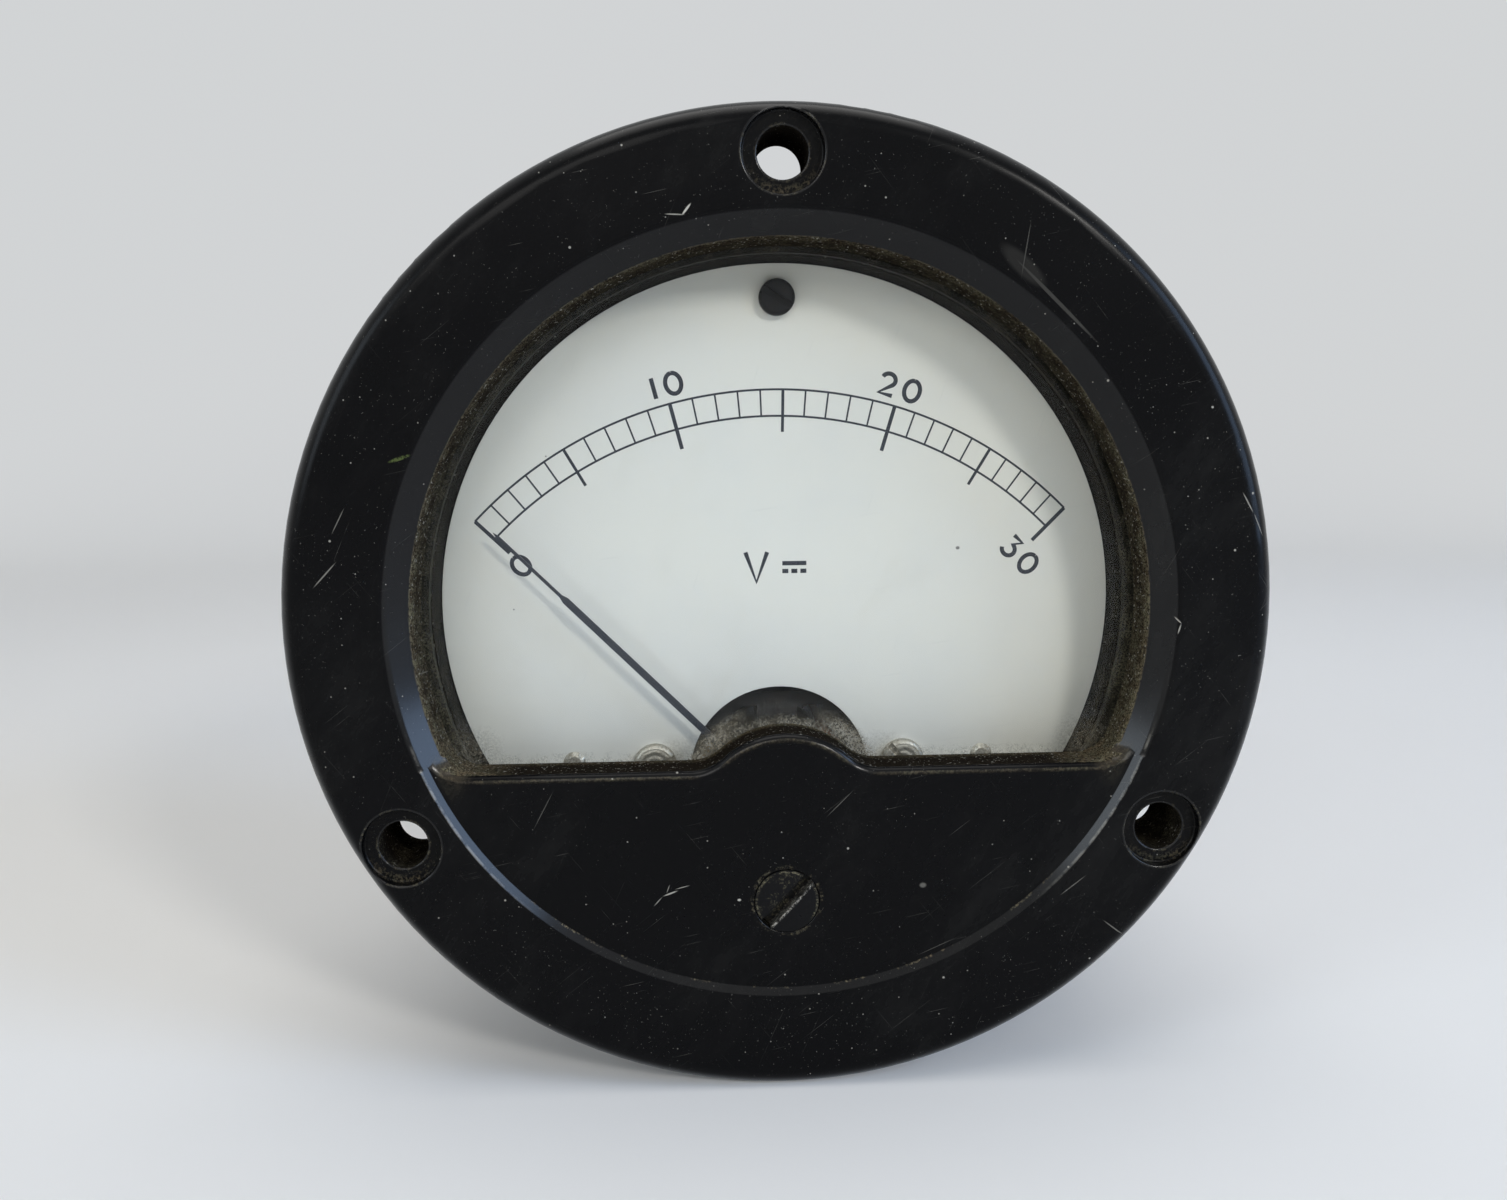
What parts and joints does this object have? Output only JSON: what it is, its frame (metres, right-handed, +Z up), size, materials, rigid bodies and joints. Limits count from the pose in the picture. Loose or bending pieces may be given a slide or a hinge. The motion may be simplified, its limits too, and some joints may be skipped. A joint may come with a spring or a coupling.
{
  "type": "round panel meter",
  "caption": "Round flush-mounting moving-coil panel meter with a D-shaped window, dial and needle, slotted zero adjuster in front and two threaded terminals behind.",
  "frame": {"origin": "centre of the mounting plane, where the back of the flange meets the panel", "axes": "+Z up with the needle's pivot below the centre, the dial faces -Y and the terminals point along +Y"},
  "size_m": [0.0888, 0.0657, 0.0888],
  "materials": {
    "phenolic": "semi-gloss black moulded phenolic",
    "window_glass": "clear flat glass",
    "gasket_rubber": "matt black rubber",
    "nickel_steel": "nickel-plated steel, slightly tarnished",
    "black_steel": "blackened steel",
    "dial_enamel": "matt off-white paint on sheet metal",
    "soft_iron": "ground soft iron",
    "magnet_steel": "cast magnet steel",
    "brass": "bare brass",
    "nickel_brass": "nickel-plated brass, tarnished",
    "bronze": "phosphor bronze",
    "aluminium": "bare aluminium",
    "needle_black": "aluminium, matt dark lacquer",
    "copper_winding": "enamelled copper wire",
    "jewel": "polished ruby glass",
    "pivot_steel": "hardened polished steel",
    "spool": "brown phenolic spool wound with varnished wire",
    "lead_insulation": "red insulated lead"
  },
  "bodies": {
    "case": {"bezel": "phenolic", "window_glass": "window_glass", "glass_gasket": "gasket_rubber", "glass_clips": "nickel_brass", "glass_clip_screws": "nickel_brass", "case_body": "phenolic", "bezel_screws": "black_steel", "dial_plate": "dial_enamel", "dial_rivets": "nickel_brass", "dial_posts": "brass", "dial_screws": "nickel_steel", "dial_top_post": "brass", "dial_top_screw": "black_steel", "magnet": "magnet_steel", "pole_shoe_left": "soft_iron", "pole_shoe_right": "soft_iron", "core": "soft_iron", "core_spacer_top": "brass", "core_spacer_bottom": "brass", "front_bridge": "black_steel", "front_bridge_screws": "nickel_steel", "stop_pins": "nickel_steel", "front_jewel_screw": "brass", "front_jewel": "jewel", "front_lock_nut": "brass", "rear_bridge": "brass", "rear_bridge_screws": "nickel_steel", "rear_jewel_screw": "brass", "rear_jewel": "jewel", "rear_lock_nut": "brass", "rear_hairspring": "bronze", "rear_spring_tag": "nickel_brass", "movement_posts": "brass", "rear_screws": "nickel_steel", "terminal_stud_left": "nickel_brass", "terminal_stud_right": "nickel_brass", "solder_lugs": "nickel_brass", "terminal_flat_washers": "nickel_brass", "terminal_inner_nuts": "nickel_brass", "terminal_lock_washers": "nickel_steel", "terminal_outer_nuts": "nickel_brass", "multiplier_resistor": "spool", "resistor_lead_left": "lead_insulation", "resistor_lead_right": "lead_insulation", "frame_lead": "lead_insulation", "zero_washer": "bronze"},
    "moving_coil": {"coil_former": "aluminium", "coil_winding": "copper_winding", "front_pivot": "pivot_steel", "rear_pivot": "pivot_steel", "needle": "needle_black", "balance_weights": "brass"},
    "zero_screw": {"zero_screw": "phenolic", "zero_clip": "nickel_steel"},
    "zero_arm": {"zero_arm": "brass", "front_hairspring": "bronze"}
  },
  "joints": [
    {"name": "coil_swing", "type": "hinge", "parent": "case", "child": "moving_coil", "pos_m": [0, 0.0095, -0.01908], "axis": [0, 1, 0], "range_deg": [-3.3, 93.4], "stiffness_Nm_per_rad": 0.000012},
    {"name": "zero_screw_turn", "type": "hinge", "parent": "case", "child": "zero_screw", "pos_m": [0, -0.0063, -0.0262], "axis": [0, 1, 0], "range_deg": [-45, 45]},
    {"name": "zero_arm_swing", "type": "hinge", "parent": "case", "child": "zero_arm", "pos_m": [0, -0.00095, -0.01908], "axis": [0, 1, 0], "range_deg": [-5.6, 5.6]}
  ],
  "couplings": [
    {"joint": "zero_arm_swing", "follows": "zero_screw_turn", "ratio": 0.1165}
  ]
}
